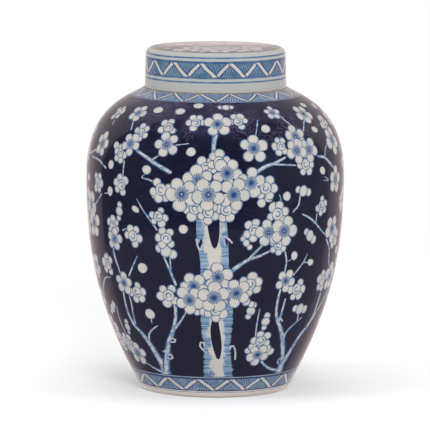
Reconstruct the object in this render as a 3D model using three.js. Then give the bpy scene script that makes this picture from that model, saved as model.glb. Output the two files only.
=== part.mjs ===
// A covered porcelain ginger jar: a hollow body with a plain upright neck, and a cap-shaped lid
// that slips over the neck and rests on a flat unglazed ledge around it.
// Millimetres, +Z up. The origin is on the jar's axis, on the surface that it stands on.

import * as THREE from 'three';

// Driving dimensions.
const overallHeight = 330;
const bellyRadius = 124;
const bellyHeight = 206;
const seatHeight = 290;
const seatRadius = 69;
const wallThickness = 5.5;

// The foot: a ring of bare clay around a recessed base.
const footEdgeRadius = 77;
const footEdgeHeight = 11;
const footOuterRadius = 69.5;
const footInnerRadius = 62.5;
const footRecess = 7;
const floorHeight = 15;

// The neck, which stands up inside the lid.
const neckRadius = 61.5;
const neckBore = 56;
const neckTop = 312;

// The lid.
const gap = 0.3;
const lidRimRadius = 68;
const lidTopRadius = 66.9;
const lidBore = 63.2;
const lidCeiling = 322.5;
const lidFillet = 4;
const lidEdgeHeight = 323.8;
const crownEdgeRadius = 62.5;
const crownEdgeHeight = 328;

// How far the inside follows the wall: from a share of the lower curve to a share of the upper one.
const insideStart = 0.13;
const insideEnd = 0.8;

// Steps along the curves of an outline, and around the axis.
const wallSteps = 10;
const filletSteps = 3;
const turnSteps = 64;

const darkGlaze = new THREE.MeshStandardMaterial({ color: 0x20223c, roughness: 0.12, metalness: 0 });
const paleGlaze = new THREE.MeshStandardMaterial({ color: 0xc3c8d2, roughness: 0.15, metalness: 0 });

// A point of an outline: distance from the axis, then height.
function at(radius, height) {
  return new THREE.Vector2(radius, height);
}

// The outside of the body, from the foot's edge to the widest part, and from there to the seat.
const lowerWall = new THREE.CubicBezierCurve(
  at(footEdgeRadius, footEdgeHeight),
  at(108.9, 72.8),
  at(bellyRadius, 120),
  at(bellyRadius, bellyHeight),
);
const upperWall = new THREE.CubicBezierCurve(
  at(bellyRadius, bellyHeight),
  at(bellyRadius, 271),
  at(83.8, 281),
  at(seatRadius, seatHeight),
);

// The inside of a wall, worked out from its outside and followed back from `last` to `first`.
function insideOf(curve, first, last) {
  const points = [];
  for (let step = wallSteps; step >= 0; step -= 1) {
    const t = first + (last - first) * step / wallSteps;
    const tangent = curve.getTangent(t);
    const inward = at(-tangent.y, tangent.x);
    points.push(curve.getPoint(t).addScaledVector(inward, wallThickness));
  }
  return points;
}

function rounded(from, corner, to) {
  return new THREE.QuadraticBezierCurve(from, corner, to).getPoints(filletSteps);
}

// The rounded lip of the neck, from its outside over to its bore.
function neckLip() {
  const lipRadius = (neckRadius - neckBore) / 2;
  const lip = new THREE.EllipseCurve(
    neckBore + lipRadius, neckTop - lipRadius, lipRadius, lipRadius, 0, Math.PI,
  );
  return lip.getPoints(2 * filletSteps);
}

// Turns a closed outline about the jar's axis. A point that repeats the one before it is dropped.
function turned(name, outline, material) {
  const repeatDistance = 0.01;
  const profile = outline.filter((point, index) => {
    return index === 0 || point.distanceTo(outline[index - 1]) > repeatDistance;
  });
  const mesh = new THREE.Mesh(new THREE.LatheGeometry(profile, turnSteps), material);
  mesh.name = name;
  mesh.rotation.x = Math.PI / 2;
  return mesh;
}

function jarBody() {
  const shoulderInside = insideOf(upperWall, 0, insideEnd);
  const bellyInside = insideOf(lowerWall, insideStart, 1);
  const neckBase = at(neckBore, seatHeight + 8);
  const floorEdge = bellyInside[bellyInside.length - 1];
  const outline = [
    at(0, footRecess),
    at(footInnerRadius - 2, footRecess),
    at(footInnerRadius, 0),
    ...rounded(at(footOuterRadius, 0), at(72.6, 0.6), at(footEdgeRadius, footEdgeHeight)),
    ...lowerWall.getPoints(wallSteps),
    ...upperWall.getPoints(wallSteps),
    at(neckRadius, seatHeight),
    ...neckLip(),
    ...rounded(neckBase, at(neckBore, seatHeight - 6), shoulderInside[0]),
    ...shoulderInside,
    ...bellyInside,
    ...rounded(floorEdge, at(floorEdge.x - 6, floorHeight), at(floorEdge.x - 18, floorHeight)),
    at(0, floorHeight),
  ];
  return turned('jar_body', outline, darkGlaze);
}

function lid() {
  const rimHeight = seatHeight + gap;
  const outline = [
    at(0, lidCeiling),
    ...rounded(
      at(lidBore - lidFillet, lidCeiling), at(lidBore, lidCeiling), at(lidBore, lidCeiling - lidFillet),
    ),
    at(lidBore, rimHeight),
    at(lidRimRadius, rimHeight),
    ...rounded(
      at(lidTopRadius, lidEdgeHeight), at(lidTopRadius - 0.3, crownEdgeHeight - 0.8),
      at(crownEdgeRadius, crownEdgeHeight),
    ),
    ...rounded(at(crownEdgeRadius, crownEdgeHeight), at(38, overallHeight), at(0, overallHeight)),
  ];
  return turned('lid', outline, paleGlaze);
}

const jar = new THREE.Group();
jar.add(jarBody());
jar.add(lid());

export default jar;
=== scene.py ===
# Looks of a covered porcelain ginger jar, painted under its glaze in cobalt blue with blossoming
# plum branches that are left white against a dark ground.
#
# Each painted skin is one surface of revolution. The painting is laid out on a flat map of it, as
# petals, branches and bands laid one over another, and the map is cut along their outlines, so that
# each region of the mesh has the glaze of the motif on top. Lengths named here are in millimetres.

import math
import random

import bpy
import numpy as np
from mathutils import Matrix, Vector
from mathutils.geometry import delaunay_2d_cdt


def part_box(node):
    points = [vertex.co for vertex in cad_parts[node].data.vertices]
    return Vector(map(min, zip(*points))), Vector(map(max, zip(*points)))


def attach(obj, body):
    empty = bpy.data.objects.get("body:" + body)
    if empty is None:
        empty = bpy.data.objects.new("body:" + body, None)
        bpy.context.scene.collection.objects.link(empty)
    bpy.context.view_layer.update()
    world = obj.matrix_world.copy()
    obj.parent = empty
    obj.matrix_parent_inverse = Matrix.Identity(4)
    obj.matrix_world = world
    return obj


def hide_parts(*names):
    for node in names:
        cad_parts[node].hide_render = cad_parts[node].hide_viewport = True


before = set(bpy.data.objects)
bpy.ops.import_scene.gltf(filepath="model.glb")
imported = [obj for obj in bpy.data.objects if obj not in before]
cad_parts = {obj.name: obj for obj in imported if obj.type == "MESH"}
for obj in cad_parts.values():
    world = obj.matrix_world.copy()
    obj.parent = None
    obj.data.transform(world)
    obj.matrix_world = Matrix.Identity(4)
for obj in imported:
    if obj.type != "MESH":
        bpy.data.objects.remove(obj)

MM = 0.001
TURN = 2 * math.pi
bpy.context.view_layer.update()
chance = random.Random(41)
unevenness = random.Random(7)

# ---------------------------------------------------------------- sizes, from the frame

body_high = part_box("jar_body")[1]
lid_low, lid_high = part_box("lid")
BELLY = body_high.x / MM
NECK_TOP = body_high.z / MM
LID_RIM = lid_low.z / MM
LID_GAP = 0.3
SEAT = LID_RIM - LID_GAP
LID_RADIUS = lid_high.x / MM
TOP = lid_high.z / MM

# The other sizes that the CAD gives these surfaces.
BELLY_HEIGHT = 206
NECK_RADIUS = 61.5
NECK_BORE = 56
SEAT_RADIUS = 69
WALL = 5.5
FLOOR = 15
FOOT_EDGE = (77, 11)
FOOT_OUTSIDE = 69.5
FOOT_INSIDE = 62.5
FOOT_RECESS = 7
LID_BORE = 63.2
LID_CEILING = 322.5
LID_SHOULDER = (66.9, 323.8)
CROWN_EDGE = (62.5, 328)

# How far the painted skins and the clay behind them lie inside the CAD's surface.
SKIN_DEPTH = 0.25
LID_SKIN_DEPTH = 0.1
CLAY_DEPTH = 0.7
WOBBLE = 0.18

# The painted wall: where it starts, where its borders end and start, and the spacing of its mesh.
FOOT_LOW = 0.6
FOOT_BORDER_TOP = 22.2
SHOULDER_BORDER_LOW = 283
WALL_MESH_GAP = 5.5
LID_MESH_GAP = 3.4
OUTLINE_GAP = 3.2
WALL_PERIODS = 16
LID_PERIODS = 15


# ---------------------------------------------------------------- outlines

def bezier(points, steps):
    """Points along a Bezier curve of any degree."""
    t = np.linspace(0, 1, steps + 1)[:, None]
    level = [np.array(p, float)[None, :] * np.ones_like(t) for p in points]
    while len(level) > 1:
        level = [a * (1 - t) + b * t for a, b in zip(level, level[1:])]
    return level[0]


def joined(*stretches):
    """One outline from several, without the points that repeat."""
    points = np.concatenate([np.array(s, float) for s in stretches])
    step = np.hypot(*np.diff(points, axis=0).T)
    return points[np.concatenate([[True], step > 1e-3])]


class Outline:
    """A curve in the plane of radius and height, followed by its own length."""

    def __init__(self, points):
        self.radius, self.height = points.T
        step = np.hypot(np.diff(self.radius), np.diff(self.height))
        self.length = np.concatenate([[0], np.cumsum(step)])
        self.whole = self.length[-1]

    def at(self, s):
        return np.interp(s, self.length, self.radius), np.interp(s, self.length, self.height)

    def at_height(self, height):
        return float(np.interp(height, self.height, self.length))


def body_wall(steps):
    foot = bezier([(FOOT_OUTSIDE, 0), (72.6, 0.6), FOOT_EDGE], steps // 4)
    lower = bezier([FOOT_EDGE, (108.9, 72.8), (BELLY, 120), (BELLY, BELLY_HEIGHT)], steps)
    upper = bezier([(BELLY, BELLY_HEIGHT), (BELLY, 271), (83.8, 281), (SEAT_RADIUS, SEAT)], steps)
    return joined(foot, lower, upper)


def lid_side(steps):
    edge = bezier([LID_SHOULDER, (66.6, 327.2), CROWN_EDGE], steps)
    return joined([(LID_RADIUS, LID_RIM + 0.4)], edge)


def crown_height(radius):
    """Height of the lid's slightly domed top."""
    share = np.clip(np.asarray(radius) / CROWN_EDGE[0], 0, 1)
    return TOP - (TOP - CROWN_EDGE[1]) * share ** 2.4


def offset(points, depth):
    """The same outline, moved to its left by depth."""
    along = np.gradient(points, axis=0)
    along /= np.hypot(*along.T)[:, None]
    return points + depth * np.stack([-along[:, 1], along[:, 0]], axis=1)


# ---------------------------------------------------------------- the flat map and what is laid on it

class Spot:
    """A place on the map. stretch is how many map units across make one millimetre of surface."""

    def __init__(self, x, y, stretch=1.0):
        self.x, self.y, self.stretch = x, y, stretch

    def point(self, across, up):
        return (self.x + across * self.stretch, self.y + up)

    def moved(self, across, up):
        return Spot(*self.point(across, up), self.stretch)


def with_points_between(outline, gap):
    """The same closed outline with points added along its long edges, so that they can follow a wall."""
    outline = np.array(outline, float)
    result = []
    for start, end in zip(outline, np.roll(outline, -1, axis=0)):
        steps = max(1, math.ceil(math.hypot(*(end - start)) / gap))
        result += [start + (end - start) * k / steps for k in range(steps)]
    return np.array(result)


class Region:
    """Part of the map under one glaze. place(points) gives each point's own coordinates in the motif."""

    def __init__(self, glaze, outline, place, seed):
        outline = with_points_between(outline, OUTLINE_GAP)
        x, y = outline.T
        if np.sum(x * np.roll(y, -1) - np.roll(x, -1) * y) < 0:
            outline = outline[::-1]
        self.glaze, self.outline, self.place, self.seed = glaze, outline, place, seed


def beside_path(found, path, travelled, widths):
    """Where points lie beside a path: across it (-1 to 1), along it, and its width there."""
    best = np.full(len(found), 1e9)
    own = np.zeros((len(found), 3))
    for k in range(len(path) - 1):
        step = path[k + 1] - path[k]
        away = found - path[k]
        share = np.clip(away @ step / (step @ step), 0, 1)
        miss = away - share[:, None] * step
        distance = np.hypot(*miss.T)
        hand = np.sign(step[0] * miss[:, 1] - step[1] * miss[:, 0])
        width = widths[k] * (1 - share) + widths[k + 1] * share
        reached = travelled[k] + share * math.sqrt(step @ step)
        nearer = distance < best
        own[nearer] = np.stack([hand * distance * 2 / width, reached, width], axis=1)[nearer]
        best = np.minimum(best, distance)
    return own


class Painting:
    """Regions in the order that they are laid on the map."""

    def __init__(self):
        self.regions = []

    def add(self, glaze, outline, place):
        self.regions.append(Region(glaze, outline, place, chance.random()))

    def oval(self, glaze, spot, half, tilt=0.0, sides=18):
        """An ellipse. Its own coordinates reach 1 at its edge, then comes its size."""
        cos, sin = math.cos(tilt), math.sin(tilt)
        outline = []
        lean, dent = unevenness.uniform(0, TURN), unevenness.uniform(0, TURN)
        for k in range(sides):
            angle = k * TURN / sides
            reach = 1 + 0.035 * math.sin(2 * angle + lean) + 0.03 * math.sin(3 * angle + dent)
            a, b = reach * half[0] * math.cos(angle), reach * half[1] * math.sin(angle)
            outline.append(spot.point(a * cos - b * sin, a * sin + b * cos))
        size = math.sqrt(half[0] * half[1])

        def place(points):
            across = (points[:, 0] - spot.x) / spot.stretch
            up = points[:, 1] - spot.y
            u = (across * cos + up * sin) / half[0]
            v = (up * cos - across * sin) / half[1]
            return np.stack([u, v, np.full_like(u, size)], axis=1)

        self.add(glaze, outline, place)

    def stroke(self, glaze, points, widths, stretches, round_ends=True):
        """A brush stroke along points. Its own coordinates are across (-1 to 1), along, and width."""
        points, widths = np.array(points, float), np.array(widths, float)
        stretch = np.array(stretches, float)
        flat = points.copy()
        flat[:, 0] /= stretch.mean()
        along = np.gradient(flat, axis=0)
        along /= np.maximum(np.hypot(*along.T), 1e-9)[:, None]
        side = np.stack([-along[:, 1] * stretch, along[:, 0]], axis=1) * widths[:, None] / 2
        left, right = points + side, points - side
        ends = ([], [])
        if round_ends:
            tip = np.stack([along[:, 0] * stretch, along[:, 1]], axis=1) * widths[:, None] * 0.4
            ends = ([points[-1] + tip[-1]], [points[0] - tip[0]])
        outline = list(left) + ends[0] + list(right[::-1]) + ends[1]
        travelled = np.concatenate([[0], np.cumsum(np.hypot(*np.diff(flat, axis=0).T))])

        def place(found):
            return beside_path(found / (stretch.mean(), 1), flat, travelled, widths)

        self.add(glaze, outline, place)

    def band(self, glaze, low, high, left, right, period):
        """A strip across the map. Its own coordinates are periods, then height in the strip."""
        outline = [(left, low), (right, low), (right, high), (left, high)]

        def place(points):
            return np.stack([points[:, 0] / period, points[:, 1] - low, 0 * points[:, 0]], axis=1)

        self.add(glaze, outline, place)


def smooth_path(points, gap=2.5):
    """Points along a smooth curve through points, each of any number of values, about gap apart."""
    points = np.array(points, float)
    if len(points) == 2:
        points = np.array([points[0], points.mean(axis=0), points[1]])
    ends = [2 * points[0] - points[1]], [2 * points[-1] - points[-2]]
    full = np.concatenate([ends[0], points, ends[1]])
    result = [points[0]]
    for k in range(1, len(full) - 2):
        a, b, c, d = full[k - 1:k + 3]
        steps = max(1, int(math.hypot(*(c - b)[:2]) / gap))
        for t in (np.arange(steps) + 1) / steps:
            result.append(0.5 * (
                2 * b + (c - a) * t + (2 * a - 5 * b + 4 * c - d) * t ** 2
                + (3 * b - a - 3 * c + d) * t ** 3
            ))
    return np.array(result)


# ---------------------------------------------------------------- motifs

def blossom(painting, spot, size, turn=None):
    """An open blossom seen from the front: five round petals, then its stamens."""
    turn = chance.uniform(0, TURN) if turn is None else math.radians(turn)
    order = list(range(5))
    chance.shuffle(order)
    for k in order:
        angle = turn + k * TURN / 5 + chance.uniform(-0.09, 0.09)
        distance = size * 0.615 * chance.uniform(0.93, 1.06)
        radius = size * 0.385 * chance.uniform(0.92, 1.07)
        centre = spot.moved(distance * math.cos(angle), distance * math.sin(angle))
        half = (radius * chance.uniform(0.94, 1.0), radius * chance.uniform(1.0, 1.08))
        painting.oval("petal", centre, half, angle)
    painting.oval("stamens", spot, (size * 0.465, size * 0.445), turn + 0.3, sides=24)


def curl(painting, spot, size, turn):
    """The curled edge of a petal that folds over: a hooked line."""
    start, sweep = turn + 0.5, -4.4
    points = []
    for k in range(9):
        angle = start + sweep * k / 8
        reach = size * (0.50 - 0.16 * k / 8)
        points.append(spot.point(reach * math.cos(angle), reach * math.sin(angle)))
    hook = points[-1]
    points.append((hook[0] * 0.5 + spot.x * 0.5, hook[1] * 0.5 + spot.y * 0.5))
    widths = [0.8] + [1.2] * 8 + [0.7]
    painting.stroke("ink", points, widths, [spot.stretch] * len(points))


def side_blossom(painting, spot, size, turn=None):
    """A blossom turned away: petals around one large front petal with a curled edge."""
    turn = chance.uniform(0, TURN) if turn is None else math.radians(turn)
    for share, reach, radius in (
        (-1.0, 0.62, 0.33), (1.0, 0.60, 0.36), (-2.1, 0.58, 0.34), (2.2, 0.56, 0.32), (0.05, 0.64, 0.36),
    ):
        angle = turn + share + chance.uniform(-0.12, 0.12)
        radius = size * radius * chance.uniform(0.9, 1.1)
        centre = spot.moved(size * reach * math.cos(angle), size * reach * math.sin(angle))
        painting.oval("petal", centre, (radius, radius * 1.06), angle)
    front = size * 0.47
    painting.oval("petal", spot, (front, front * 0.96), turn)
    curl(painting, spot, front, turn + chance.uniform(-0.4, 0.4))


def half_open(painting, spot, size, turn):
    """Three petals in a row, the middle one in front, as on a blossom that is opening."""
    turn = math.radians(turn)
    across = (math.cos(turn), math.sin(turn))
    for side, radius in ((-1, 0.36), (1, 0.40), (0, 0.5)):
        radius = size * radius * chance.uniform(0.92, 1.06)
        reach = size * 0.66 * side
        centre = spot.moved(reach * across[0], reach * across[1])
        painting.oval("petal", centre, (radius, radius * 1.05), turn)


def bud(painting, spot, length, width, turn=0.0):
    """A bud: one small oval."""
    painting.oval("bud", spot, (length / 2, width / 2), math.radians(turn), sides=16)


# ---------------------------------------------------------------- node-built glazes

class Value:
    """A number that nodes work out. Arithmetic on it adds Math nodes."""

    def __init__(self, nodes, socket):
        self.nodes, self.socket = nodes, socket

    def __add__(self, other):
        return self.nodes.math("ADD", self, other)

    def __sub__(self, other):
        return self.nodes.math("SUBTRACT", self, other)

    def __rsub__(self, other):
        return self.nodes.math("SUBTRACT", other, self)

    def __mul__(self, other):
        return self.nodes.math("MULTIPLY", self, other)

    def __truediv__(self, other):
        return self.nodes.math("DIVIDE", self, other)

    def __abs__(self):
        return self.nodes.math("ABSOLUTE", self)


class Nodes:
    """Short ways to add nodes to a tree."""

    def __init__(self, tree):
        self.tree = tree

    def node(self, kind, inputs=None, **settings):
        made = self.tree.nodes.new(kind)
        for key, value in settings.items():
            setattr(made, key, value)
        for key, value in (inputs or {}).items():
            self.feed(made.inputs[key], value)
        return made

    def feed(self, socket, value):
        if isinstance(value, Value):
            value = value.socket
        if isinstance(value, bpy.types.NodeSocket):
            self.tree.links.new(value, socket)
        else:
            socket.default_value = value

    def values(self, sockets):
        return [Value(self, socket) for socket in sockets]

    def math(self, operation, *values):
        made = self.node("ShaderNodeMath", dict(enumerate(values)), operation=operation)
        return Value(self, made.outputs[0])

    def distance(self, x, y):
        return self.math("SQRT", self.math("POWER", x, 2.0) + self.math("POWER", y, 2.0))

    def rise(self, value, low, high, to=1.0):
        """0 below low, to above high, and smooth between. low may be the larger."""
        inputs = {"Value": value, "From Min": low, "From Max": high, "To Max": to}
        made = self.node("ShaderNodeMapRange", inputs, interpolation_type="SMOOTHSTEP")
        return Value(self, made.outputs["Result"])

    def mix(self, share, first, second):
        made = self.node("ShaderNodeMix", {0: share}, data_type="RGBA")
        self.feed(made.inputs[6], tint(first))
        self.feed(made.inputs[7], tint(second))
        return made.outputs[2]

    def vector(self, x, y, z):
        return self.node("ShaderNodeCombineXYZ", {0: x, 1: y, 2: z}).outputs[0]


class Glaze(Nodes):
    """A Principled material, with the coordinates that its nodes are fed from."""

    def __init__(self, name):
        self.material = bpy.data.materials.new(name)
        self.material.use_nodes = True
        super().__init__(self.material.node_tree)
        self.surface = self.tree.nodes["Principled BSDF"]
        self.surface.inputs["IOR"].default_value = GLAZE_IOR
        self.position = self.node("ShaderNodeTexCoord").outputs["Object"]
        place = self.node("ShaderNodeSeparateXYZ", {0: self.position}).outputs
        self.height = Value(self, place["Z"]) * (1 / MM)
        motif = self.node("ShaderNodeAttribute", attribute_name="motif").outputs["Vector"]
        self.seed = Value(self, self.node("ShaderNodeAttribute", attribute_name="seed").outputs["Fac"])
        self.u, self.v, self.w = self.values(self.node("ShaderNodeSeparateXYZ", {0: motif}).outputs)

    def noise(self, size, place=None, stretch=(1, 1, 1), detail=2.0, rough=0.5):
        """Noise with features of about size millimetres, longer along an axis stretched below 1."""
        unit = MM if place is None else 1.0
        scaled = self.node("ShaderNodeVectorMath", {0: place or self.position}, operation="MULTIPLY")
        scaled.inputs[1].default_value = [s / (size * unit) for s in stretch]
        shifted = self.node("ShaderNodeVectorMath", {0: scaled.outputs[0]}, operation="ADD")
        self.feed(shifted.inputs[1], self.seed * SEED_SHIFT)
        inputs = {"Vector": shifted.outputs[0], "Scale": 1.0, "Detail": detail, "Roughness": rough}
        return Value(self, self.node("ShaderNodeTexNoise", inputs).outputs["Fac"])

    def waver(self, reach, size, **settings):
        """Noise that lies around zero, and is reach times as strong."""
        return (self.noise(size, **settings) - 0.5) * reach

    def swept(self):
        """Coordinates in millimetres whose x follows brush strokes that lean from side to side."""
        turn = self.node("ShaderNodeVectorRotate", rotation_type="AXIS_ANGLE")
        unit = self.node("ShaderNodeVectorMath", {0: self.position}, operation="SCALE")
        unit.inputs["Scale"].default_value = 1 / MM
        self.feed(turn.inputs["Vector"], unit.outputs[0])
        turn.inputs["Axis"].default_value = (0, 1, 0)
        self.feed(turn.inputs["Angle"], self.waver(5.0, 60, detail=1))
        return turn.outputs[0]

    def finish(self, colour, rough=(0.04, 0.10), bump=0.02, strokes=None):
        """Colour, uneven gloss, and the faint unevenness of a fired glaze, with brushed ridges if given."""
        self.feed(self.surface.inputs["Base Color"], tint(colour))
        sheen = self.noise(14, detail=3)
        low, high = rough
        gloss = self.node("ShaderNodeMapRange", {"Value": sheen, "From Min": 0.3, "From Max": 0.7})
        gloss.inputs["To Min"].default_value, gloss.inputs["To Max"].default_value = low, high
        self.feed(self.surface.inputs["Roughness"], gloss.outputs[0])
        swell = self.noise(9, stretch=(1, 1, 1.6), detail=2)
        if strokes:
            swell = swell + strokes
        uneven = self.node("ShaderNodeBump", {"Height": swell, "Strength": 1.0})
        uneven.inputs["Distance"].default_value = bump * MM
        self.feed(self.surface.inputs["Normal"], uneven.outputs[0])
        return self.material


class WorldNodes(Nodes):
    """The surroundings, as a function of the direction that they are seen in."""

    def __init__(self, tree):
        super().__init__(tree)
        direction = self.node("ShaderNodeTexCoord").outputs["Generated"]
        self.x, self.y, self.z = self.values(self.node("ShaderNodeSeparateXYZ", {0: direction}).outputs)


def tint(value):
    """A colour as nodes want it: a socket stays, and three numbers become four."""
    return value if isinstance(value, bpy.types.NodeSocket) else (*value, 1.0)


GLAZE_IOR = 1.45
SEED_SHIFT = 37.0

# Linear colours of the glazes.
CREAM = (0.435, 0.415, 0.378)
CREAM_SHADE = (0.39, 0.38, 0.355)
PALE_GLAZE = (0.35, 0.36, 0.342)
PALE_GLAZE_SHADE = (0.315, 0.335, 0.335)
WASH = (0.15, 0.25, 0.365)
MID_BLUE = (0.040, 0.10, 0.21)
LINE = (0.026, 0.074, 0.165)
INK = (0.018, 0.04, 0.13)
GROUND = (0.0062, 0.0066, 0.0185)
GROUND_LIGHT = (0.012, 0.016, 0.045)
# Mauve painted reflection of the overhead light, laid on the shoulder's brush strokes.
PAINTED_SHOULDER_REFLECTION = (0.085, 0.066, 0.125)
STAMEN_INK = (0.022, 0.062, 0.165)
BRANCH_WASH = (0.042, 0.10, 0.205), (0.15, 0.245, 0.36)
TRUNK_WASH = (0.22, 0.32, 0.42), (0.10, 0.18, 0.29)
LID_WASH = (0.072, 0.135, 0.20), (0.18, 0.25, 0.31)
SHOULDER_WASH = (0.12, 0.17, 0.27), (0.26, 0.31, 0.38)
FOOT_WASH = (0.11, 0.165, 0.235), (0.25, 0.30, 0.345)
FOOT_LINE = (0.27, 0.35, 0.43)
SHOULDER_LINE = (0.30, 0.38, 0.46)
SHOULDER_RIM = (0.30, 0.36, 0.44)
LID_LINE = (0.035, 0.10, 0.24)
LID_LINE_DARK = (0.03, 0.075, 0.19)
FOOT_GLAZE = (0.55, 0.50, 0.445)
CLAY = (0.40, 0.27, 0.17), (0.52, 0.40, 0.29)
CLAY_SPECKLE = (0.25, 0.16, 0.10)


def ground_glaze():
    """Cobalt brushed on in streaks, with brushed ridges on the shoulder that catch the light, and a mauve
    painted reflection of the overhead light laid along the strokes there.
    """
    g = Glaze("cobalt_ground")
    streaks = g.noise(16, stretch=(1, 1, 7), detail=4, rough=0.65)
    pools = g.noise(45, detail=2)
    washed = g.rise(streaks, 0.42, 0.75) * g.rise(pools, 0.3, 0.7)
    # Painted reflection: on the shoulder the brush strokes are coloured mauve, standing in for the overhead
    # light that they mirror.
    thin = g.rise(g.height, 238, 268, 0.9)
    strokes = g.noise(2.2, place=g.swept(), stretch=(0.12, 1, 1), detail=3, rough=0.6)
    missed = g.rise(strokes, 0.46, 0.64) * g.rise(g.noise(38, detail=2), 0.38, 0.6)
    shoulder_reflection = thin * missed
    colour = g.mix(washed * g.rise(g.height, 120, 230), GROUND, GROUND_LIGHT)
    colour = g.mix(shoulder_reflection, colour, PAINTED_SHOULDER_REFLECTION)
    ridges = strokes * (g.rise(g.height, 240, 262) * 2.2)
    return g.finish(colour, strokes=ridges)


def depth_inside(g):
    """Millimetres in from the edge of an oval motif, wavering as a hand does."""
    inside = (1.0 - g.distance(g.u, g.v)) * g.w
    return inside + g.waver(-0.9, 5, detail=1)


def edge_line(g, inside, width):
    """How strongly a motif's edge is inked. width is in millimetres."""
    return g.rise(inside, width, width * 0.5)


def petal_glaze():
    """White, with an inked edge that blue has bled from here and there, and blue at the petal's base."""
    g = Glaze("petal_white")
    inside = depth_inside(g)
    line = edge_line(g, inside, 1.25)
    pressure = g.rise(g.noise(6, detail=2), 0.25, 0.6)
    base = g.rise(g.u, -0.25, -1.0) * g.rise(g.noise(3, detail=2), 0.35, 0.65, 0.7)
    body = g.mix(g.rise(g.noise(12), 0.4, 0.7), CREAM, CREAM_SHADE)
    washed = g.mix(base, body, WASH)
    bled = g.rise(inside, 3.0, 0.9) * g.rise(g.noise(8, detail=3), 0.46, 0.64, 0.42)
    washed = g.mix(bled, washed, WASH)
    inked = line * (pressure * 0.35 + 0.65)
    return g.finish(g.mix(inked, washed, LINE))


def bud_glaze():
    """White, with a thinner inked edge than a petal's."""
    g = Glaze("bud_white")
    line = edge_line(g, depth_inside(g), 1.0)
    body = g.mix(g.rise(g.noise(10), 0.4, 0.7), CREAM, CREAM_SHADE)
    return g.finish(g.mix(line * 0.65, body, MID_BLUE))


STAMENS = 19


def stamens_glaze():
    """A pool of thin blue with threads running out of it, a tick at the end of each, and a small eye."""
    g = Glaze("stamen_wash")
    away = g.distance(g.u, g.v)
    waver = g.waver(0.9, 4, detail=1)
    angle = g.math("ARCTAN2", g.v, g.u) * (STAMENS / TURN)
    turn = angle + waver + 40.0
    aside = abs(g.math("FRACT", turn) - 0.5)
    pick = g.vector(g.math("FLOOR", turn), g.seed * 91.0, 0.0)
    luck = g.node("ShaderNodeTexWhiteNoise", {"Vector": pick}, noise_dimensions="3D")
    reach = Value(g, luck.outputs["Value"]) * 0.16 + 0.68
    within = g.rise(away, reach, reach - 0.08)
    threads = g.rise(aside, 0.34, 0.2) * within
    sideways = aside * away * (TURN / STAMENS)
    beyond = (away - (reach + 0.06)) * 0.55
    from_tick = g.distance(sideways, beyond)
    ticks = g.rise(from_tick, 0.11, 0.06)
    marks = g.math("MAXIMUM", threads, ticks)
    pool = g.rise(away, 0.82, 0.5) * g.rise(g.noise(3, detail=2), 0.05, 0.6, 0.75)
    blotch = away + g.waver(0.5, 1.6, detail=2)
    shade = g.rise(blotch, 0.62, 0.2, 0.9)
    eye = g.rise(blotch, 0.38, 0.22)
    pale_eye = g.rise(away, 0.13, 0.07) * g.math("GREATER_THAN", g.seed, 0.6)
    colour = g.mix(pool, CREAM, WASH)
    colour = g.mix(shade, colour, MID_BLUE)
    colour = g.mix(marks, colour, STAMEN_INK)
    colour = g.mix(eye, colour, INK)
    return g.finish(g.mix(pale_eye, colour, CREAM))


def ink_glaze():
    """A drawn line, paler where the brush ran dry."""
    g = Glaze("ink_line")
    return g.finish(g.mix(g.rise(g.noise(4, detail=2), 0.35, 0.65, 0.6), LINE, WASH))


def branch_glaze():
    """Thin blue laid along a branch in streaks, white where it was missed, dark and ragged at the sides."""
    g = Glaze("branch_wash")
    ragged = g.waver(1.1, 2.6, detail=3, rough=0.7)
    beside = abs(g.u) + ragged
    place = g.vector(g.u, g.v * 0.16, 0.0)
    streaks = g.noise(0.55, place=place, detail=3, rough=0.6)
    patches = g.noise(6, detail=2)
    colour = g.mix(g.rise(streaks, 0.38, 0.6), *BRANCH_WASH)
    lit = g.rise(abs(g.u - 0.12), 0.66, 0.36)
    missed = g.rise(patches, 0.38, 0.5) * g.rise(streaks, 0.34, 0.46, 0.92)
    colour = g.mix(lit * missed, colour, CREAM)
    colour = g.mix(g.rise(beside, 0.58, 0.80, 0.95), colour, LINE)
    return g.finish(g.mix(g.rise(beside, 0.92, 1.05), colour, GROUND))


def trunk_glaze():
    """A pale trunk whose bark is hatched across in blue, heavily at the sides and in patches."""
    g = Glaze("trunk_bark")
    patches = g.noise(8, stretch=(1, 1, 0.45), detail=3, rough=0.6)
    beside = abs(g.u) + (patches - 0.5) * 1.5
    bark = g.rise(beside, 0.40, 0.62)
    place = g.vector(g.u * 0.55, g.v, 0.0)
    strokes = g.noise(1.1, place=place, detail=2, rough=0.6)
    hatch = g.rise(strokes, 0.48, 0.62) * g.rise(beside, 0.34, 0.6)
    body = g.mix(g.rise(g.noise(10), 0.4, 0.7), CREAM, CREAM_SHADE)
    blue = g.mix(g.rise(strokes, 0.3, 0.55), *TRUNK_WASH)
    colour = g.mix(bark * 0.92, body, blue)
    colour = g.mix(hatch * 0.85, colour, MID_BLUE)
    torn = abs(g.u) + (strokes - 0.5) * 0.5
    return g.finish(g.mix(g.rise(torn, 0.94, 1.02), colour, GROUND))


def white_line_glaze():
    """A thin pale twig, left between two blue edges."""
    g = Glaze("white_line")
    colour = g.mix(g.rise(g.noise(4, detail=2), 0.4, 0.7), CREAM, WASH)
    return g.finish(g.mix(g.rise(abs(g.u), 0.7, 1.0), colour, MID_BLUE))


def hatching(g, period, above):
    """Thin ink strokes across a border, leaning one way above its zigzag and the other way below."""
    strokes_per_mm, lean = 0.42, 0.3
    way = above * 2.0 - 1.0
    leaning = way * g.v * lean
    across = g.u * period + leaning + 900.0
    strokes = abs(g.math("FRACT", across * strokes_per_mm) - 0.5)
    return g.rise(strokes, 0.32, 0.12) * g.rise(g.noise(5, detail=2), 0.2, 0.5, 0.9)


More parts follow.
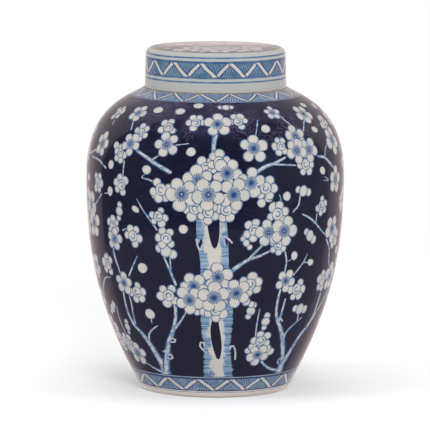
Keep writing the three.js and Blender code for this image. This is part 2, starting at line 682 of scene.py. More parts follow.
def zigzag(g, low, high, period, bar, wash):
    """Hatched blue triangles parted by leaning pale bars, each bar inked along both of its sides."""
    height = high - low
    slope = period / math.hypot(period, 2 * height)
    phase = g.math("FRACT", g.u + g.waver(0.09, 11, detail=1) + 100.0)
    level = (g.v - low) / height
    rising = phase - g.math("GREATER_THAN", phase, 0.75)
    falling = 1.0 - phase - g.math("LESS_THAN", phase, 0.25)
    peak = 1.0 - abs(phase * 2.0 - 1.0)
    above = g.math("GREATER_THAN", level, peak)
    pool = g.mix(g.rise(g.noise(6, detail=3), 0.3, 0.7), *wash)
    pool = g.mix(above * 0.35, pool, wash[0])
    colour = g.mix(hatching(g, period, above), pool, LINE)
    for line in (rising, falling):
        far = abs((level - line * 2.0) * (height * slope))
        beside = abs(far - (bar * 0.5 + 0.45))
        colour = g.mix(g.rise(beside, 0.75, 0.4), colour, INK)
        colour = g.mix(g.rise(far, bar * 0.5 + 0.15, bar * 0.5 - 0.15), colour, CREAM)
    return colour


def banded(name, low, high, period, bar, wash, lines, below, above=None):
    """A zigzag strip from low to high, plain glaze below and above it, and brushed lines along it."""
    g = Glaze(name)
    colour = zigzag(g, low, high, period, bar, wash)
    level = g.v + g.waver(0.6, 30, detail=1)
    colour = g.mix(g.rise(level, low + 0.15, low - 0.15), colour, below)
    colour = g.mix(g.rise(level, high - 0.15, high + 0.15), colour, above or below)
    for place, width, strength, ink in lines:
        near = abs(level - place)
        pressure = g.rise(g.noise(9, stretch=(1, 1, 3), detail=2), 0.2, 0.6, 0.35)
        edge = g.rise(near, width / 2 + 0.3, width / 2 - 0.2, strength)
        share = edge * (pressure + 0.65)
        colour = g.mix(share, colour, ink)
    return g.finish(colour)


def pale_glaze():
    g = Glaze("pale_glaze")
    return g.finish(g.mix(g.rise(g.noise(20, detail=3), 0.35, 0.7), PALE_GLAZE, PALE_GLAZE_SHADE))


def bare_clay():
    """Unglazed biscuit, rough and speckled."""
    g = Glaze("bare_clay")
    speckle = g.rise(g.noise(0.8, detail=3), 0.55, 0.7)
    colour = g.mix(g.rise(g.noise(6, detail=3), 0.35, 0.7), *CLAY)
    return g.finish(g.mix(speckle, colour, CLAY_SPECKLE), rough=(0.7, 0.9), bump=0.05)


# ---------------------------------------------------------------- cutting the map into a mesh

def border_points(left, right, low, high, gap):
    """Points around a rectangle of the map, in order, and rows of points inside it."""
    across = max(2, round((right - left) / gap))
    up = max(2, round((high - low) / gap))
    xs, ys = np.linspace(left, right, across + 1), np.linspace(low, high, up + 1)
    ring = [(x, low) for x in xs[:-1]] + [(right, y) for y in ys[:-1]]
    ring += [(x, high) for x in xs[:0:-1]] + [(left, y) for y in ys[:0:-1]]
    inner = []
    for row, y in enumerate(ys[1:-1]):
        shift = 0.5 * (row % 2)
        inner += [(x + shift * (xs[1] - xs[0]), y) for x in xs[1:-1 - (row % 2)]]
    return ring, inner


def partition(regions, ring, inner):
    """Triangles of the map, each with the number of the region on top of it, or -1 for the ground."""
    points, loops = list(ring), [list(range(len(ring)))]
    for region in regions:
        first = len(points)
        points += [tuple(p) for p in region.outline]
        loops.append(list(range(first, len(points))))
    points += inner
    found = delaunay_2d_cdt([Vector(p) for p in points], [], loops, 0, 0.01, True)
    places = np.array([tuple(v) for v in found[0]])
    kept, top = [], []
    for face, inside in zip(found[2], found[5]):
        if inside and 0 in inside and len(face) == 3:
            a, b, c = places[list(face)]
            if abs((b - a)[0] * (c - a)[1] - (b - a)[1] * (c - a)[0]) > 1e-7:
                kept.append(face)
                top.append(max(inside) - 1)
    return places, np.array(kept), np.array(top)


def glazed(mesh, glazes, slots):
    """Gives a mesh its glazes, one slot number to a face, and smooth shading."""
    for glaze in glazes.values():
        mesh.materials.append(glaze)
    mesh.polygons.foreach_set("material_index", slots)
    mesh.polygons.foreach_set("use_smooth", [True] * len(slots))


def linked(name, data):
    """A new object in the scene."""
    made = bpy.data.objects.new(name, data)
    bpy.context.scene.collection.objects.link(made)
    return made


def normals_of(surface, places):
    """The surface's own normals, from a short step east and north on the map."""
    step = 0.4
    east = surface(places + (step, 0)) - surface(places - (step, 0))
    north = surface(places + (0, step)) - surface(places - (0, step))
    normals = np.cross(east, north)
    return normals / np.linalg.norm(normals, axis=1)[:, None]


def add_motif_coordinates(mesh, regions, corners, top):
    """Each face corner's coordinates in its own motif, and its motif's seed."""
    own, seeds = np.zeros((len(corners), 3, 3)), np.zeros((len(corners), 3))
    own[..., :2] = corners
    for k in np.unique(top[top >= 0]):
        here = top == k
        own[here] = regions[k].place(corners[here].reshape(-1, 2)).reshape(-1, 3, 3)
        seeds[here] = regions[k].seed
    mesh.attributes.new("motif", "FLOAT_VECTOR", "CORNER").data.foreach_set("vector", own.ravel())
    mesh.attributes.new("seed", "FLOAT", "CORNER").data.foreach_set("value", seeds.ravel())


def skin(name, body, regions, ring, inner, surface, glazes):
    """A painted skin. surface(points) puts map points in place, in metres."""
    places, faces, top = partition(regions, ring, inner)
    used, packed = np.unique(faces, return_inverse=True)
    places, faces = places[used], packed.reshape(faces.shape)
    mesh = bpy.data.meshes.new(name)
    mesh.from_pydata(surface(places).tolist(), [], faces.tolist())
    names = list(glazes)
    glazed(mesh, glazes, [names.index(regions[k].glaze if k >= 0 else "ground") for k in top])
    add_motif_coordinates(mesh, regions, places[faces], top)
    mesh.normals_split_custom_set_from_vertices(normals_of(surface, places).tolist())
    mesh.validate()
    piece = linked(name, mesh)
    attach(piece, body)
    return piece


def turned(name, body, outline, segments, glaze_of, glazes):
    """A closed body of revolution whose outline starts and ends on the axis."""
    names = list(glazes)
    azimuths = np.arange(segments) * TURN / segments
    count = len(outline)
    points = [(0, 0, outline[0][1])]
    for r, z in outline[1:-1]:
        points += [(r * math.sin(a), -r * math.cos(a), z) for a in azimuths]
    points.append((0, 0, outline[-1][1]))
    last, faces, slots = len(points) - 1, [], []
    for k in range(count - 1):
        middle = (outline[k] + outline[k + 1]) / 2
        slot = names.index(glaze_of(*middle))
        for i in range(segments):
            j = (i + 1) % segments
            below, above = 1 + (k - 1) * segments, 1 + k * segments
            if k == 0:
                faces.append((0, above + j, above + i))
            elif k == count - 2:
                faces.append((below + i, below + j, last))
            else:
                faces.append((below + i, below + j, above + j, above + i))
            slots.append(slot)
    mesh = bpy.data.meshes.new(name)
    mesh.from_pydata([Vector(p) * MM for p in points], [], faces)
    glazed(mesh, glazes, slots)
    mesh.set_sharp_from_angle(angle=math.radians(50))
    piece = linked(name, mesh)
    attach(piece, body)
    return piece


# ---------------------------------------------------------------- the painted wall of the body

wall = Outline(body_wall(400))


def foot_up(height):
    """Distance up the wall from where the foot band starts."""
    return wall.at_height(height) - wall.at_height(FOOT_LOW)


# Lines along each border: height in the strip, width, strength, colour.
FOOT_LINES = [
    (foot_up(7.2), 1.2, 1.0, INK), (foot_up(5.4), 0.8, 0.7, MID_BLUE),
    (foot_up(19.6), 1.4, 1.0, INK), (foot_up(21.1), 0.9, 0.9, FOOT_LINE),
]
SHOULDER_LINES = [(0.6, 0.8, 0.6, SHOULDER_LINE), (1.6, 0.8, 0.7, MID_BLUE), (15.6, 0.9, 0.8, MID_BLUE)]
LID_LINES = [
    (15.0, 1.7, 1.0, MID_BLUE), (29.8, 1.9, 1.0, LID_LINE_DARK),
    (10.8, 1.5, 0.95, LID_LINE), (34.1, 1.5, 0.95, LID_LINE),
]


def wobble(azimuth, height):
    """How far a hand-turned wall is out of round, at most WOBBLE."""
    slow = np.sin(2 * azimuth + 0.7) * 0.4 + np.sin(3 * azimuth + height / 60 + 2) * 0.3
    return WOBBLE * (slow + np.sin(height / 17 + 0.6 * np.sin(azimuth)) * 0.3)


def around_axis(azimuth, radius, height):
    """Points in metres. An azimuth of 0 is the front."""
    return np.stack([radius * np.sin(azimuth), -radius * np.cos(azimuth), height], axis=1) * MM


def on_wall(centre):
    """Puts map points on the wall. The map's middle is at centre, an azimuth."""
    def surface(points):
        azimuth = points[:, 0] / BELLY + centre
        radius, height = wall.at(points[:, 1])
        return around_axis(azimuth, radius - SKIN_DEPTH + wobble(azimuth, height), height)
    return surface


def wall_spot(azimuth, height):
    """The place at an azimuth in degrees, to the right of the front, and a height."""
    y = wall.at_height(height)
    return Spot(math.radians(azimuth) * BELLY, y, BELLY / wall.at(y)[0])


def limb(painting, glaze, points, rounded=True):
    """A branch or trunk through (azimuth, height, width) points."""
    spots = [wall_spot(azimuth, height) for azimuth, height, width in points]
    rows = [(s.x, s.y, s.stretch, point[2]) for s, point in zip(spots, points)]
    path = smooth_path(rows)
    painting.stroke(glaze, path[:, :2], path[:, 3], path[:, 2], rounded)


# Branches: (azimuth, height, width) from the thick end.
TRUNK = [
    (2.6, 18, 38), (2.4, 27, 35), (2.0, 36, 31), (1.6, 46, 29), (1.4, 54, 28), (1.2, 66, 29), (1.1, 84, 31),
    (0.6, 104, 29), (0.1, 124, 27), (-0.2, 140, 27), (-0.9, 156, 29), (-1.5, 172, 29), (-1.4, 190, 27),
]
WINDOWS = [
    [(0.2, 79, 6.5), (0.3, 70, 9), (1.0, 60, 9.5), (1.8, 50, 7.5), (2.3, 41.5, 3.5)],
    [(-0.7, 182, 12), (-0.6, 172, 11.4), (-0.3, 163, 9.8), (-0.1, 156, 7), (-0.1, 151.5, 4)],
    [(-5.9, 158, 2.4), (-6.6, 154, 3), (-6.9, 150.5, 1.6)],
    [(4.8, 159, 1.8), (5.3, 156.4, 2.4), (5.4, 153.6, 1.2)],
]
BRANCHES = [
    [(-34, 20, 17), (-33.5, 29, 13), (-36, 39, 8.5), (-39.5, 52, 7), (-43.5, 62.5, 5.5), (-47.8, 70, 4.5),
     (-50, 80, 3.6), (-50.4, 92, 3), (-50, 104, 2.6)],
    [(-32.5, 27, 9), (-30, 38, 8), (-27.8, 48, 7), (-26, 57, 5.5), (-23, 66, 5), (-20.8, 76, 4.4),
     (-19.6, 88, 4), (-20, 98, 3.6)],
    [(-46.6, 68, 3), (-46.4, 79, 2.8), (-45.8, 90, 2.6), (-46, 100, 2.2)],
    [(-20.6, 71, 2.8), (-17.2, 79, 2.4), (-14, 88, 2.2)],
    [(-39.2, 56, 3), (-38.2, 62, 2.6), (-35, 67.5, 2.2), (-31, 72, 1.2)],
    [(-34.6, 74, 1.4), (-34.2, 79, 1.8)], [(-37, 24.5, 3), (-43, 27.5, 2.6), (-50, 33, 2)],
    [(48, 20, 17), (48, 27, 13), (46.5, 37, 7.5), (43.2, 49, 6.5), (40.6, 59, 6), (37.6, 68.5, 5.4),
     (34.4, 77, 4.4), (32.5, 86, 3.6), (32.3, 98, 3.2), (32.8, 108, 2.6)],
    [(49, 33, 9), (51.8, 45, 7), (54.8, 56, 6.2), (59.6, 65, 5.6), (63, 74, 5), (64, 86, 4.2),
     (64.4, 98, 3.4)],
    [(63.4, 72, 4), (67, 81, 3.4), (72, 91, 3), (77, 100, 2.6)],
    [(35.4, 76, 3.6), (36, 86, 3.2), (36.6, 98, 2.6)],
    [(41.4, 57, 3.2), (42.4, 64, 2.8), (46.2, 70.5, 2.4), (51.8, 77, 1.6)],
    [(48.4, 74, 1.8), (48.2, 80, 2.2)], [(30, 36, 3), (35, 30, 3), (40.5, 26.5, 3.4), (46, 25, 4)],
    [(22.6, 62, 2), (22.4, 76, 1.8), (22.8, 90, 1.4)],
    [(7.6, 128, 5), (11, 133.5, 4.6), (15.4, 139, 4), (20.4, 142, 3.2), (26, 147, 2.6)],
    [(15.4, 139, 3.4), (18, 145, 3), (21.5, 152, 2.6)],
    [(-23.6, 141, 2.2), (-21, 128, 3), (-18.4, 114, 3.6)], [(-20.6, 141, 1.8), (-20.4, 129, 2)],
    [(-53, 147, 4), (-52.6, 136, 3.6), (-50.8, 125, 3), (-49.6, 118, 2.4)],
    [(-37.6, 139, 1.4), (-40.4, 130, 2.2), (-44, 119, 2.4)],
    [(-58.8, 114, 1.4), (-64.6, 112, 2.2), (-69, 105, 2.6), (-74, 93, 3), (-78, 80, 3.4)],
    [(-60, 85, 2), (-60.6, 72, 2.4), (-59, 58, 2)],
    [(-36.6, 194, 1.2), (-33.4, 184, 2), (-29.2, 173.5, 2.2), (-26.4, 166, 2.2)],
    [(-40.6, 166.5, 1.2), (-45.4, 162.5, 2)], [(-60.4, 194, 2), (-66, 184, 2.4), (-70, 178, 2.4)],
    [(-57.6, 195, 1.4), (-54, 196, 1.4)], [(-44.6, 228, 2.4), (-44.8, 211, 1.8)],
    [(-38, 239, 3.4), (-32.6, 234, 4.2), (-27.4, 228.5, 4.6), (-20, 221, 4.6)],
    [(-25.8, 236.5, 1.4), (-29.4, 231.6, 2.6)],
    [(-31.6, 219, 1.4), (-34, 214.6, 1.8), (-30, 213, 2), (-27, 210, 2)],
    [(-78, 228, 2.6), (-70, 233.5, 2.6), (-66, 235, 2)],
    [(-73, 226.5, 2), (-64, 225, 2.6), (-57, 219, 2.4)], [(-62, 259, 1.6), (-63.4, 263, 1.8)],
    [(-47, 265, 1.6), (-45.4, 257, 2.2)], [(-12.4, 248, 1.2), (-19, 246, 1.4)],
    [(0.2, 258, 6.5), (-0.6, 249, 5), (-1, 238, 3.8)],
    [(16.5, 219, 4.4), (22, 226, 4.4), (27.4, 229.4, 3.6), (33, 234, 2.6)],
    [(26, 228.5, 2.6), (31.4, 227.4, 2.2), (38, 226, 2)], [(19.6, 255, 1.2), (22.6, 268, 1.8)],
    [(37, 272, 2), (38.8, 267, 2.2), (41.4, 262, 2.2)],
    [(47.8, 256, 2.2), (51, 262.6, 2.2), (54, 266, 1.8)],
    [(52.8, 232, 2.8), (58.2, 229.6, 3.4), (63, 222.6, 3.6), (68, 216, 3.6)],
    [(58.6, 231, 2.2), (60.6, 238, 2.2), (65, 244, 2)],
    [(29.2, 199.5, 1.2), (30.2, 193, 2), (29.4, 187, 2)],
    [(40.2, 197, 1.8), (39.4, 188, 2.4), (36.4, 182, 2)],
    [(42, 179, 1.6), (46.2, 175, 2.4), (50.8, 168.6, 2.6), (55, 161.5, 2.2), (59, 156, 1.8)],
    [(51.4, 178, 1.6), (51, 170, 2)], [(33.3, 144.5, 2), (34.4, 135, 2.4), (34, 124, 2.2)],
    [(38.4, 137.4, 1.2), (34.6, 134.8, 1.6)], [(46.8, 140, 1.4), (44.4, 132, 2), (39.4, 121, 2)],
    [(48, 131.6, 1.2), (44.6, 132.4, 1.6)],
    [(60.6, 151, 2.6), (64.8, 141, 3), (66.2, 130, 3), (69, 121, 2.6)],
    [(57, 212, 1.4), (60, 208, 2), (56, 208.6, 1.4)],
    [(82, 20, 15), (83, 30, 10), (86, 44, 7), (88, 60, 5.5), (86, 78, 4.4), (87.4, 96, 4), (91, 114, 3.6),
     (92, 132, 3)],
    [(87.4, 58, 4), (93, 72, 3.4), (98, 84, 2.8)],
    [(79, 152, 2.6), (83, 166, 3), (84, 182, 3), (81, 196, 2.6)],
    [(84, 182, 2.2), (90, 192, 2.2), (95, 206, 2)], [(79, 232, 2.2), (85, 240, 2.4), (92, 243, 2)],
]

# Open blossoms: azimuth, height, size, and the direction of one petal where it matters.
BLOSSOMS = [
    (-23, 246.4, 13.2, 38), (1.1, 265.5, 14, 20), (17.8, 243.6, 14.6, 14), (33.8, 274, 9.5),
    (56, 270.4, 12.5), (-47.4, 271.6, 11), (-42.8, 244.6, 12.2, 60), (-64.2, 240.6, 13), (41.4, 252, 13),
    (47.6, 239, 13), (39.8, 239.4, 13.4), (70.4, 244, 15), (-7.4, 215, 15, 100), (5.2, 221.4, 15.5, 60),
    (15.8, 212, 15, 80), (-14.6, 201, 17, 42), (8.2, 201, 16.5, 66), (-2.9, 201.2, 16.5, 48),
    (24.3, 164.2, 14, 30), (32.2, 164.6, 15.5, 0), (-51.4, 152.6, 12), (-73.4, 181, 15), (-70.2, 163.6, 15),
    (1.4, 122.4, 15.5, 90), (-9.8, 113.4, 14.5), (-12.2, 99.4, 15), (10.3, 106.6, 15.5, 40),
    (-0.3, 102.4, 16.5, 20), (-48.4, 110.8, 12), (35.2, 116, 12, 130), (-75.6, 121, 13.5), (72, 112, 15),
    (-53.6, 40, 13.5), (-74.6, 61, 14.5), (26.2, 43.4, 12.5), (67.4, 206.6, 14), (65.8, 160, 14.5),
    (91, 208, 13), (94, 244, 13), (91, 137, 14), (100, 88, 13), (84, 262, 11), (81, 186, 12.5),
    (95, 171, 13),
]

# Blossoms seen from the side: azimuth, height, size, direction.
SIDE_BLOSSOMS = [
    (-24, 261.6, 11.5, 200), (-10, 266.4, 11, 120), (11.8, 267.4, 11, 60), (-38.6, 255.6, 10.5, 30),
    (-47.8, 235, 10.5, 220), (-65.6, 269.4, 10.5, 10), (31.6, 244.4, 10.5, 180), (44, 226, 12.5, 300),
    (70, 258.6, 11.5, 60), (-4, 226, 12.5, 120), (-24.2, 204.6, 13.5, 250), (22.4, 206.6, 13.5, 0),
    (1.6, 231.4, 12.5, 80), (-8.8, 188, 13, 250), (4.8, 187, 13, 300), (-3, 184.6, 12.5, 270),
    (-25.6, 179, 11.5, 290), (-45.6, 205.4, 12, 160), (-64.4, 204, 12, 350), (28.4, 181, 13.5, 70),
    (54.6, 185, 11, 320), (-22, 158.4, 12.5, 180), (-52, 165, 11, 90), (-39.4, 157.8, 12.5, 50),
    (17.6, 167, 12.5, 200), (29.4, 151.6, 11, 270), (-59.2, 126, 12.5, 170), (-22.4, 103, 13.5, 190),
    (16.6, 114.6, 13.5, 20), (0.6, 90.4, 13.5, 270), (-40.6, 103.6, 12.5, 310), (42.8, 106.6, 13, 300),
    (63.2, 110, 12.5, 160), (-60, 49, 12.5, 120), (26.4, 57.6, 12.5, 40), (69, 151, 12.5, 20),
    (-68.6, 48, 12, 150), (84, 216, 12, 40), (84, 128, 12, 200), (99, 156, 12, 100), (97, 228, 11, 20),
    (90, 99, 12, 20),
]

# Blossoms that are half open: azimuth, height, size, and the direction of the row of petals.
HALF_OPEN = [
    (6.2, 279.4, 8, 0), (-47.2, 180, 9.5, 82), (42.2, 201.2, 10.5, -15), (47.4, 157.6, 10.5, -38),
    (27.2, 77, 9.5, 84), (18.2, 88.6, 9.5, 70), (48.2, 86, 11, -10), (-22.4, 146, 11.5, -20),
    (31, 49, 10.5, -30), (-54.6, 66, 8.5, 85), (-65.4, 82, 10, 40), (85, 150, 9, 70), (82, 104, 9, 20),
    (76, 181, 9, 110), (14, 155, 8, -50), (15.4, 98, 9.5, -30), (-5.4, 88.6, 10, 10), (22.2, 52, 9.5, 40),
]

# Buds: azimuth, height, length, width, and the direction of the length where it isn't level.
BUDS = [
    (-20.6, 275.6, 10, 9), (-10.6, 280.6, 10.5, 8), (-35, 275.6, 11, 9), (-11, 240.6, 9.4, 9),
    (25.6, 260.6, 9.6, 9), (57, 256, 10, 7, -15), (65, 277, 9.5, 7), (-53.4, 223.2, 8.8, 9.2),
    (-31.6, 222.2, 10.4, 8.6), (-51.8, 241.4, 9.6, 7.4, -20), (-53.4, 198, 8.6, 9.4),
    (-37.4, 184, 9.8, 6, -28), (-14, 168, 9.2, 9), (33, 197.6, 8.8, 9.2), (55.4, 218, 9.4, 7.8, -30),
    (38.6, 140, 8, 9, 10), (49.6, 131.4, 9.4, 6.8, -10), (-35.2, 128, 11.4, 10.4), (-34.6, 83, 11.6, 10.4),
    (13.6, 161.8, 6.6, 6.6), (-27.2, 198, 6, 7, 60), (-26.6, 100, 6, 6.4), (24, 197, 8.6, 8.6),
    (20.6, 192.6, 9, 8.6), (-59.2, 134.6, 6, 6), (80, 221, 8.6, 8.6), (98, 126, 9, 8, 20),
    (80, 92, 8.6, 8, 40), (87, 231, 8, 9), (101, 192, 9, 9), (79, 274, 9, 8), (103, 206, 9, 8),
    (76, 137, 8.6, 8.6), (78, 68, 9, 9), (99, 70, 8.6, 9), (94, 52, 9, 8, 30),
]

# Pale twigs and scars on the trunk: (azimuth, height) points of each line.
TWIGS = [
    [(-4.6, 47), (-6.6, 50), (-8.2, 54), (-7.6, 57.6), (-5.8, 57), (-5.4, 53.6)],
    [(12.4, 40), (12.2, 46), (11.6, 51), (10.4, 54), (9, 53.4), (9, 51)],
    [(-8.1, 159), (-7.8, 153), (-6.8, 148.6)], [(-3.8, 161), (-5, 154.6), (-6.3, 149)],
    [(3.4, 160.4), (4.6, 161.4), (6.2, 159), (7.6, 155.4)], [(3.9, 157.6), (4.5, 152.8)],
    [(-25.6, 58.6), (-23.6, 60.6), (-21.8, 59), (-22.6, 56.6), (-24.4, 56.4)],
    [(-28.6, 42.4), (-26.2, 43.4), (-25.6, 40.4), (-27.2, 38.6), (-29.4, 39.6)],
    [(-31.4, 45.6), (-29.6, 47.2), (-28.2, 45.4)], [(44.6, 31.6), (42.8, 33.4), (43.4, 36.6), (45.4, 37.4)],
    [(37.6, 76), (36.4, 78.4), (35, 76.8)],
]


def paint_wall():
    """Everything on the wall once, laid on a map whose middle is the front."""
    painting = Painting()
    for points in BRANCHES:
        limb(painting, "branch", points)
    limb(painting, "trunk", TRUNK, rounded=False)
    for points in WINDOWS:
        limb(painting, "ground", points)
    for points in TWIGS:
        limb(painting, "white_line", [(azimuth, height, 1.8) for azimuth, height in points])
    for azimuth, height, *shape in BUDS:
        bud(painting, wall_spot(azimuth, height), *shape)
    for azimuth, height, *shape in HALF_OPEN:
        half_open(painting, wall_spot(azimuth, height), *shape)
    for azimuth, height, *shape in SIDE_BLOSSOMS:
        side_blossom(painting, wall_spot(azimuth, height), *shape)
    for azimuth, height, *shape in BLOSSOMS:
        blossom(painting, wall_spot(azimuth, height), *shape)
    return painting


def shifted(region, turn):
    """The same region, further round the jar by turn, an azimuth."""
    by = turn * BELLY
    moved = Region(region.glaze, region.outline + (by, 0), None, region.seed)
    moved.place = lambda points: region.place(points - (by, 0))
    return moved


def painted_walls(glazes):
    """The front and the back of the body. The painting goes round twice, half a turn apart."""
    low, high = wall.at_height(FOOT_LOW), wall.whole - 0.3
    left, right = -BELLY * TURN / 4, BELLY * TURN / 4
    once, again = paint_wall(), paint_wall()
    round_the_jar = [shifted(r, 0) for r in once.regions] + [shifted(r, TURN / 2) for r in again.regions]
    ring, inner = border_points(left, right, low, high, WALL_MESH_GAP)
    period, past = BELLY * TURN / WALL_PERIODS, 9
    foot_top, shoulder_low = wall.at_height(FOOT_BORDER_TOP), wall.at_height(SHOULDER_BORDER_LOW)
    bands = Painting()
    bands.band("foot_band", low, foot_top, left - past, right + past, period)
    bands.band("shoulder_band", shoulder_low, high, left - past, right + past, period)
    for name, centre in (("painted_front", 0.0), ("painted_back", TURN / 2)):
        seen = []
        for region in round_the_jar:
            for whole_turns in (-1, 0, 1):
                moved = shifted(region, whole_turns * TURN - centre)
                if moved.outline[:, 0].max() > left and moved.outline[:, 0].min() < right:
                    seen.append(moved)
        piece = skin(name, "jar", seen + bands.regions, ring, inner, on_wall(centre), glazes)


def clay_body(glazes):
    """The porcelain behind the painted wall, with the neck, the inside, the base and the foot."""
    outside = offset(body_wall(24), CLAY_DEPTH)
    inside = offset(body_wall(24), WALL)
    inside = inside[(inside[:, 1] > 24) & (inside[:, 0] > 72)][::-1]
    lip = (NECK_RADIUS - NECK_BORE) / 2
    turn = np.linspace(0, math.pi, 9)
    outline = joined(
        [(0, FOOT_RECESS), (FOOT_INSIDE - 2, FOOT_RECESS), (FOOT_INSIDE, 0.1), (FOOT_OUTSIDE - 0.4, 0.0)],
        outside[2:-1],
        [(SEAT_RADIUS - 0.2, SEAT - 0.15), (NECK_RADIUS, SEAT - 0.1)],
        np.stack([NECK_BORE + lip + lip * np.cos(turn), NECK_TOP - lip + lip * np.sin(turn)], axis=1),
        bezier([(NECK_BORE, SEAT + 8), (NECK_BORE, SEAT - 6), inside[0]], 6),
        inside,
        bezier([inside[-1], (inside[-1][0] - 6, FLOOR), (inside[-1][0] - 18, FLOOR)], 6),
        [(0, FLOOR)],
    )

    def glaze_of(radius, height):
        ledge = NECK_RADIUS - 0.5 < radius < SEAT_RADIUS + 1 and SEAT - 2 < height < SEAT + 6
        lip_top = height > NECK_TOP - 2
        foot = height < 0.8 and radius > FOOT_INSIDE - 1
        return "clay" if ledge or lip_top or foot else "pale"

    piece = turned("porcelain_body", "jar", outline, 128, glaze_of, glazes)
    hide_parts("jar_body")


# ---------------------------------------------------------------- the lid

lid_wall = Outline(lid_side(12))


def painted_lid_side(glazes):
    left, right = -LID_RADIUS * TURN / 2, LID_RADIUS * TURN / 2

    def on_side(points):
        azimuth = points[:, 0] / LID_RADIUS
        radius, height = lid_wall.at(points[:, 1])
        return around_axis(azimuth, radius - LID_SKIN_DEPTH, height)

    ring, inner = border_points(left, right, 0, lid_wall.whole, LID_MESH_GAP)
    bands = Painting()
    bands.band("lid_band", -1, lid_wall.whole + 1, left - 1, right + 1, LID_RADIUS * TURN / LID_PERIODS)
    piece = skin("painted_lid_side", "lid", bands.regions, ring, inner, on_side, glazes)


def circle(reach, count):
    return [(reach * math.cos(a), reach * math.sin(a)) for a in np.arange(count) * TURN / count]


def painted_lid_top(glazes):
    """The lid's top, whose map is the top itself, seen from above."""
    def on_top(points):
        height = crown_height(np.hypot(*points.T)) - LID_SKIN_DEPTH
        return np.stack([points[:, 0], points[:, 1], height], axis=1) * MM

    ring = circle(CROWN_EDGE[0] - LID_SKIN_DEPTH, 120)
    inner = []
    for place, count in enumerate((60, 54, 46, 38, 30, 24, 16, 8, 1)):
        inner += circle(56 - 7 * place, count)
    painting = Painting()
    for points in LID_BRANCHES:
        path = smooth_path(points)
        painting.stroke("branch", path[:, :2], path[:, 2], [1] * len(path))
    for x, y, size in LID_BUDS:
        bud(painting, Spot(x, y), size, size * 0.9)
    for x, y, size in LID_SIDE_BLOSSOMS:
        side_blossom(painting, Spot(x, y), size)
    for x, y, size in LID_BLOSSOMS:
        blossom(painting, Spot(x, y), size)
    piece = skin("painted_lid_top", "lid", painting.regions, ring, inner, on_top, glazes)


# On the lid's top: branches (x, y, width), then blossoms and buds (x, y, size). -y is the front.
LID_BRANCHES = [
    [(-44, 26, 4.6), (-28, 16, 4), (-10, 6, 3.6), (8, -6, 3), (20, -18, 2.4)],
    [(-12, 8, 3), (4, 16, 2.8), (20, 24, 2.2), (32, 34, 1.8)], [(8, -6, 2.4), (24, -4, 2.2), (40, -8, 1.8)],
]
LID_BLOSSOMS = [
    (-14, -41, 12), (4, -44, 13), (22, -38, 12.5), (-2, -26, 13), (14, -24, 12), (-22, -25, 12.5),
    (34, -16, 12), (-30, 10, 12), (10, 18, 12.5), (-8, 32, 12), (30, 26, 11.5),
]
LID_SIDE_BLOSSOMS = [
    (36, -30, 11), (-32, -38, 10.5), (-8, 2, 11), (18, 38, 11),
]
LID_BUDS = [
    (-46, -20, 7.5), (46, 4, 7.5), (-44, 6, 7), (24, 6, 7.5), (-24, 40, 7.5), (2, 52, 7.5), (44, 24, 7),
    (-18, -8, 7),
]


def clay_lid(glazes):
    """The porcelain behind the lid's painted side and top, with its hollow and its bare rim."""
    side_points = offset(lid_side(6), CLAY_DEPTH)
    top = [(r, float(crown_height(r)) - CLAY_DEPTH) for r in (60, 48, 34, 18)]
    fillet = bezier([(LID_BORE - 4, LID_CEILING), (LID_BORE, LID_CEILING), (LID_BORE, LID_CEILING - 4)], 5)
    outline = joined(
        [(0, LID_CEILING)], fillet, [(LID_BORE, LID_RIM + 0.1), (LID_RADIUS - 0.3, LID_RIM)],
        side_points[:-1], top, [(0, TOP - CLAY_DEPTH)],
    )

    def glaze_of(radius, height):
        return "clay" if height < LID_RIM + 0.8 else "pale"

    piece = turned("porcelain_lid", "lid", outline, 128, glaze_of, glazes)
    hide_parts("lid")


# ---------------------------------------------------------------- studio

# Metres from here on.
FLOOR_REACH = 0.95
FLOOR_SIDES = 96
FLOOR_SHADES = (0.92, 0.92, 0.92), (0.93, 0.93, 0.93)

# What the glaze mirrors: the white sheet behind the jar, and the room in front of it.
SHEET_SIDES = (0.56, 0.45, 0.52)
SHEET_MIDDLE = (0.86, 0.73, 0.71)
SHEET_BAND = (0.70, 0.59, 0.57)
SHEET_TOP = (0.50, 0.42, 0.58)
ROOM = (0.03, 0.03, 0.05)
RIGHT_PANEL = (0.26, 0.25, 0.27)
LEFT_PANEL = (0.13, 0.12, 0.14)
OVERHEAD_PANEL = (0.32, 0.27, 0.46)
WINDOW = (0.26, 0.34, 0.62)
TABLETOP = (0.34, 0.30, 0.36)
WHITE = (1, 1, 1)
EVEN_LIGHT = (0.60, 0.60, 0.605)

# Soft lamps: name, place, what it faces, size, watts.
JAR_MIDDLE = (0, 0, 0.17)
LAMPS = [
    ("key_softbox", (0.6, -2.9, 1.4), JAR_MIDDLE, (1.3, 0.9), 56),
    ("left_softbox", (-2.4, -0.9, 1.4), JAR_MIDDLE, (1.4, 1.4), 25),
    ("right_softbox", (2.5, -0.4, 1.3), JAR_MIDDLE, (1.4, 1.4), 15),
    ("ceiling_light", (0, 0.5, 2.6), (0, 0.5, 0), (5, 5), 47),
]


def facing(place, target):
    return (Vector(target) - Vector(place)).to_track_quat("-Z", "Y")


def lamp(name, place, target, size, power):
    """A rectangular softbox that the camera and the glaze don't see."""
    data = bpy.data.lights.new(name, "AREA")
    data.shape, data.size, data.size_y = "RECTANGLE", *size
    data.energy = power
    made = linked(name, data)
    made.location = place
    made.rotation_euler = facing(place, target).to_euler()
    made.visible_glossy = False
    made.visible_camera = False


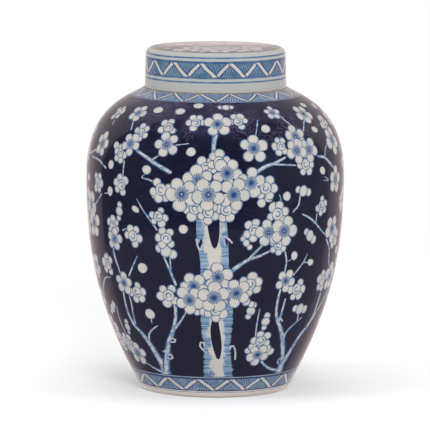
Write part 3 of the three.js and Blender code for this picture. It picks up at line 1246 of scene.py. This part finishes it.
def white_floor():
    """A matt pale disc under the jar, which the glaze doesn't mirror."""
    mesh = bpy.data.meshes.new("floor")
    rim = [(x, y, 0) for x, y in circle(FLOOR_REACH, FLOOR_SIDES)]
    mesh.from_pydata(rim, [], [range(FLOOR_SIDES)])
    floor = linked("floor", mesh)
    g = Glaze("pale_floor")
    shade = g.mix(g.rise(g.noise(300, detail=2), 0.3, 0.7), *FLOOR_SHADES)
    g.feed(g.surface.inputs["Base Color"], shade)
    g.surface.inputs["Roughness"].default_value = 0.9
    mesh.materials.append(g.material)
    floor.visible_glossy = False


def sheet_behind(g):
    """The white sheet, brightest in the middle."""
    sheet = g.mix(g.rise(g.y, 0.5, 1.0), SHEET_SIDES, SHEET_MIDDLE)
    sheet = g.mix(g.rise(g.z, 0.06, 0.12), sheet, SHEET_BAND)
    return g.mix(g.rise(g.z, 0.4, 0.95), sheet, SHEET_TOP)


def room_in_front(g):
    """A dim room with a panel at each side, one overhead, a window and a tabletop."""
    room = g.mix(g.rise(g.x, 0.35, 0.85), ROOM, RIGHT_PANEL)
    room = g.mix(g.rise(g.x, -0.5, -0.95), room, LEFT_PANEL)
    overhead = g.rise(g.z, 0.72, 0.9) * g.rise(abs(g.x), 0.5, 0.25)
    room = g.mix(overhead, room, OVERHEAD_PANEL)
    across = g.rise(g.x, 0.55, 0.62) * g.rise(g.x, 0.86, 0.8)
    upright = g.rise(g.z, -0.16, -0.13) * g.rise(g.z, 0.42, 0.36)
    room = g.mix(across * upright, room, WINDOW)
    return g.mix(g.rise(g.z, -0.236, -0.262), room, TABLETOP)


def surroundings():
    """White to the camera, an even light on matt things, and the studio in the glaze's reflections."""
    world = bpy.data.worlds.new("studio")
    world.use_nodes = True
    bpy.context.scene.world = world
    g = WorldNodes(world.node_tree)
    behind = g.rise(g.y + g.math("MAXIMUM", g.z, 0.0) * 0.55, 0.50, 0.56)
    around = g.mix(behind, room_in_front(g), sheet_behind(g))
    path = g.node("ShaderNodeLightPath")
    light = g.mix(path.outputs["Is Camera Ray"], EVEN_LIGHT, WHITE)
    light = g.mix(path.outputs["Is Glossy Ray"], light, around)
    g.feed(world.node_tree.nodes["Background"].inputs["Color"], light)


def camera():
    """The photograph's viewpoint: a long lens, a little above the lid."""
    distance, height, aim, roll_degrees = 4.43, 0.740, 0.1661, 0.24
    data = bpy.data.cameras.new("camera")
    data.sensor_width = 36.0
    data.lens = 389.0
    data.clip_end = 60
    made = linked("camera", data)
    place = Vector((0, -distance, height))
    look = facing(place, (0, 0, aim)).to_matrix()
    roll = Matrix.Rotation(math.radians(roll_degrees), 3, "Z")
    made.matrix_world = Matrix.Translation(place) @ (look @ roll).to_4x4()
    bpy.context.scene.camera = made


# ---------------------------------------------------------------- everything

def build():
    camera()
    period = BELLY * TURN / WALL_PERIODS
    glazes = {
        "ground": ground_glaze(),
        "petal": petal_glaze(),
        "bud": bud_glaze(),
        "stamens": stamens_glaze(),
        "ink": ink_glaze(),
        "branch": branch_glaze(),
        "trunk": trunk_glaze(),
        "white_line": white_line_glaze(),
        "foot_band": banded(
            "foot_band", foot_up(7.4), foot_up(19.4), period * 0.64, 3.0,
            FOOT_WASH, FOOT_LINES, FOOT_GLAZE, GROUND,
        ),
        "shoulder_band": banded(
            "shoulder_band", 1.5, 15.2, period * 0.6, 2.0,
            SHOULDER_WASH, SHOULDER_LINES, GROUND, SHOULDER_RIM,
        ),
        "lid_band": banded(
            "lid_band", 15.3, 29.6, LID_RADIUS * TURN / LID_PERIODS, 3.0,
            LID_WASH, LID_LINES, PALE_GLAZE,
        ),
    }
    on_lid = {k: v for k, v in glazes.items() if k not in ("foot_band", "shoulder_band")}
    painted_walls({k: v for k, v in glazes.items() if k != "lid_band"})
    painted_lid_side(on_lid)
    painted_lid_top(on_lid)
    plain = {"pale": pale_glaze(), "clay": bare_clay()}
    clay_body(plain)
    clay_lid(plain)
    white_floor()
    surroundings()
    for settings in LAMPS:
        lamp(*settings)


build()
bpy.context.scene.view_settings.view_transform = "Standard"
